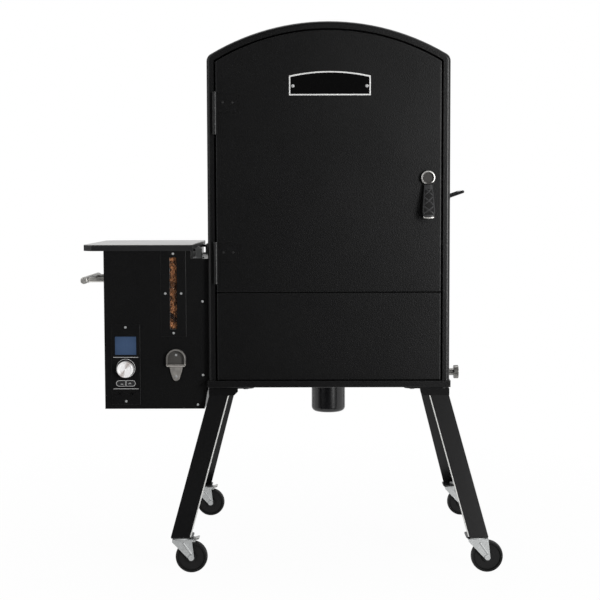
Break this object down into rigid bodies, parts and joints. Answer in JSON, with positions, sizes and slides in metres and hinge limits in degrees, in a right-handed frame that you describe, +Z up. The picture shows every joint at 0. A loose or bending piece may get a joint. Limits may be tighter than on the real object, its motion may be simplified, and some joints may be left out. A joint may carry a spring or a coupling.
{
  "type": "vertical pellet smoker grill",
  "caption": "Arched cabinet smoker with a side pellet hopper, hinged door and lid, ash cup and splayed legs on swivel casters.",
  "frame": {"origin": "on the floor under the middle of the whole object's box", "axes": "+X to the cabinet's right, +Y from its front to its back, +Z up"},
  "size_m": [1.0081, 0.6556, 1.303],
  "materials": {
    "hammered_black": "satin powder coat",
    "porcelain_black": "gloss enamel",
    "raw_steel": "mill finish",
    "zinc": "zinc plated",
    "stainless": "brushed",
    "chrome": "polished",
    "cast_iron": "cast",
    "badge": "satin, black field",
    "turned_aluminium": "spun",
    "black_plastic": "fine grain",
    "grip": "textured",
    "screen": "gloss",
    "clear_pane": "clear",
    "gasket_rope": "woven",
    "wheel_rubber": "moulded"
  },
  "bodies": {
    "cabinet": {"outer_shell": "hammered_black", "inner_liner": "porcelain_black", "front_frame": "hammered_black", "rear_panel": "hammered_black", "floor_pan": "porcelain_black", "base_frame": "hammered_black", "lower_front_panel": "hammered_black", "rack_rails": "raw_steel", "cooking_racks": "chrome", "water_pan": "porcelain_black", "heat_deflector": "raw_steel", "burn_pot": "raw_steel", "ash_collar": "cast_iron", "exhaust_stack": "hammered_black", "stack_cap": "hammered_black", "side_handle": "hammered_black", "cabinet_screws": "zinc", "frame_hinge_halves": "hammered_black", "hopper_case": "hammered_black", "hopper_bin": "raw_steel", "lid_hinge_brackets": "zinc", "bar_handle": "chrome", "window_bezel": "hammered_black", "window_lens": "clear_pane", "bottle_opener": "cast_iron", "control_plate": "hammered_black", "display_screen": "screen", "auger_tube": "raw_steel", "auger_motor": "raw_steel", "fan_housing": "raw_steel", "power_inlet": "black_plastic", "front_legs": "hammered_black", "rear_legs": "hammered_black"},
    "door": {"door_outer": "hammered_black", "door_inner": "porcelain_black", "door_gasket": "gasket_rope", "door_hinge_leaves": "hammered_black", "badge_plate": "badge", "door_fasteners": "zinc"},
    "latch": {"latch_spindle": "chrome", "latch_grip": "grip"},
    "lid": {"hopper_lid": "stainless"},
    "dial": {"control_dial": "turned_aluminium"},
    "left_key": {"key_left": "black_plastic"},
    "right_key": {"key_right": "black_plastic"},
    "ash_pull": {"ash_slide": "raw_steel", "ash_knob": "chrome"},
    "cup": {"ash_cup": "hammered_black"},
    "auger": {"auger_screw": "raw_steel"},
    "fan": {"fan_impeller": "raw_steel"},
    "fork_front_left": {"caster_fork_front_left": "zinc"},
    "wheel_front_left": {"caster_wheel_front_left": "wheel_rubber"},
    "brake_front_left": {"brake_lever_front_left": "black_plastic"},
    "fork_front_right": {"caster_fork_front_right": "zinc"},
    "wheel_front_right": {"caster_wheel_front_right": "wheel_rubber"},
    "fork_rear_left": {"caster_fork_rear_left": "zinc"},
    "wheel_rear_left": {"caster_wheel_rear_left": "wheel_rubber"},
    "brake_rear_left": {"brake_lever_rear_left": "black_plastic"},
    "fork_rear_right": {"caster_fork_rear_right": "zinc"},
    "wheel_rear_right": {"caster_wheel_rear_right": "wheel_rubber"}
  },
  "joints": [
    {"name": "door_swing", "type": "hinge", "parent": "cabinet", "child": "door", "pos_m": [-0.1768, -0.24918, 1.087], "axis": [0, 0, -1], "range_deg": [0, 120]},
    {"name": "latch_turn", "type": "hinge", "parent": "door", "child": "latch", "pos_m": [0.32825, -0.24418, 0.934], "axis": [0, -1, 0], "range_deg": [0, 90]},
    {"name": "hopper_lid_lift", "type": "hinge", "parent": "cabinet", "child": "lid", "pos_m": [-0.22325, -0.02718, 0.762], "axis": [0, 1, 0], "range_deg": [0, 90]},
    {"name": "dial_turn", "type": "hinge", "parent": "cabinet", "child": "dial", "pos_m": [-0.39725, -0.22218, 0.4765], "axis": [0, 1, 0], "continuous": true},
    {"name": "left_key_press", "type": "slide", "parent": "cabinet", "child": "left_key", "axis": [0, 1, 0], "range_m": [0, 0.0015], "stiffness_N_per_m": 300},
    {"name": "right_key_press", "type": "slide", "parent": "cabinet", "child": "right_key", "axis": [0, 1, 0], "range_m": [0, 0.0015], "stiffness_N_per_m": 300},
    {"name": "ash_pull_slide", "type": "slide", "parent": "cabinet", "child": "ash_pull", "axis": [1, 0, 0], "range_m": [0, 0.085]},
    {"name": "ash_cup_drop", "type": "slide", "parent": "cabinet", "child": "cup", "axis": [0, 0, -1], "range_m": [0, 0.1]},
    {"name": "auger_turn", "type": "hinge", "parent": "cabinet", "child": "auger", "pos_m": [-0.34825, -0.00718, 0.484], "axis": [1, 0, 0], "continuous": true},
    {"name": "fan_spin", "type": "hinge", "parent": "cabinet", "child": "fan", "pos_m": [-0.32325, 0.07532, 0.44], "axis": [0, 1, 0], "continuous": true},
    {"name": "swivel_front_left", "type": "hinge", "parent": "cabinet", "child": "fork_front_left", "pos_m": [-0.25785, -0.30378, 0.086], "axis": [0, 0, 1], "continuous": true},
    {"name": "roll_front_left", "type": "hinge", "parent": "fork_front_left", "child": "wheel_front_left", "pos_m": [-0.23485, -0.30378, 0.0381], "axis": [0, 1, 0], "continuous": true},
    {"name": "brake_press_front_left", "type": "hinge", "parent": "fork_front_left", "child": "brake_front_left", "pos_m": [-0.22785, -0.30378, 0.0792], "axis": [0, 1, 0], "range_deg": [0, 12]},
    {"name": "swivel_front_right", "type": "hinge", "parent": "cabinet", "child": "fork_front_right", "pos_m": [0.44335, -0.30378, 0.086], "axis": [0, 0, 1], "continuous": true},
    {"name": "roll_front_right", "type": "hinge", "parent": "fork_front_right", "child": "wheel_front_right", "pos_m": [0.46635, -0.30378, 0.0381], "axis": [0, 1, 0], "continuous": true},
    {"name": "swivel_rear_left", "type": "hinge", "parent": "cabinet", "child": "fork_rear_left", "pos_m": [-0.25785, 0.28942, 0.086], "axis": [0, 0, 1], "continuous": true},
    {"name": "roll_rear_left", "type": "hinge", "parent": "fork_rear_left", "child": "wheel_rear_left", "pos_m": [-0.23485, 0.28942, 0.0381], "axis": [0, 1, 0], "continuous": true},
    {"name": "brake_press_rear_left", "type": "hinge", "parent": "fork_rear_left", "child": "brake_rear_left", "pos_m": [-0.22785, 0.28942, 0.0792], "axis": [0, 1, 0], "range_deg": [0, 12]},
    {"name": "swivel_rear_right", "type": "hinge", "parent": "cabinet", "child": "fork_rear_right", "pos_m": [0.44335, 0.28942, 0.086], "axis": [0, 0, 1], "continuous": true},
    {"name": "roll_rear_right", "type": "hinge", "parent": "fork_rear_right", "child": "wheel_rear_right", "pos_m": [0.46635, 0.28942, 0.0381], "axis": [0, 1, 0], "continuous": true}
  ]
}
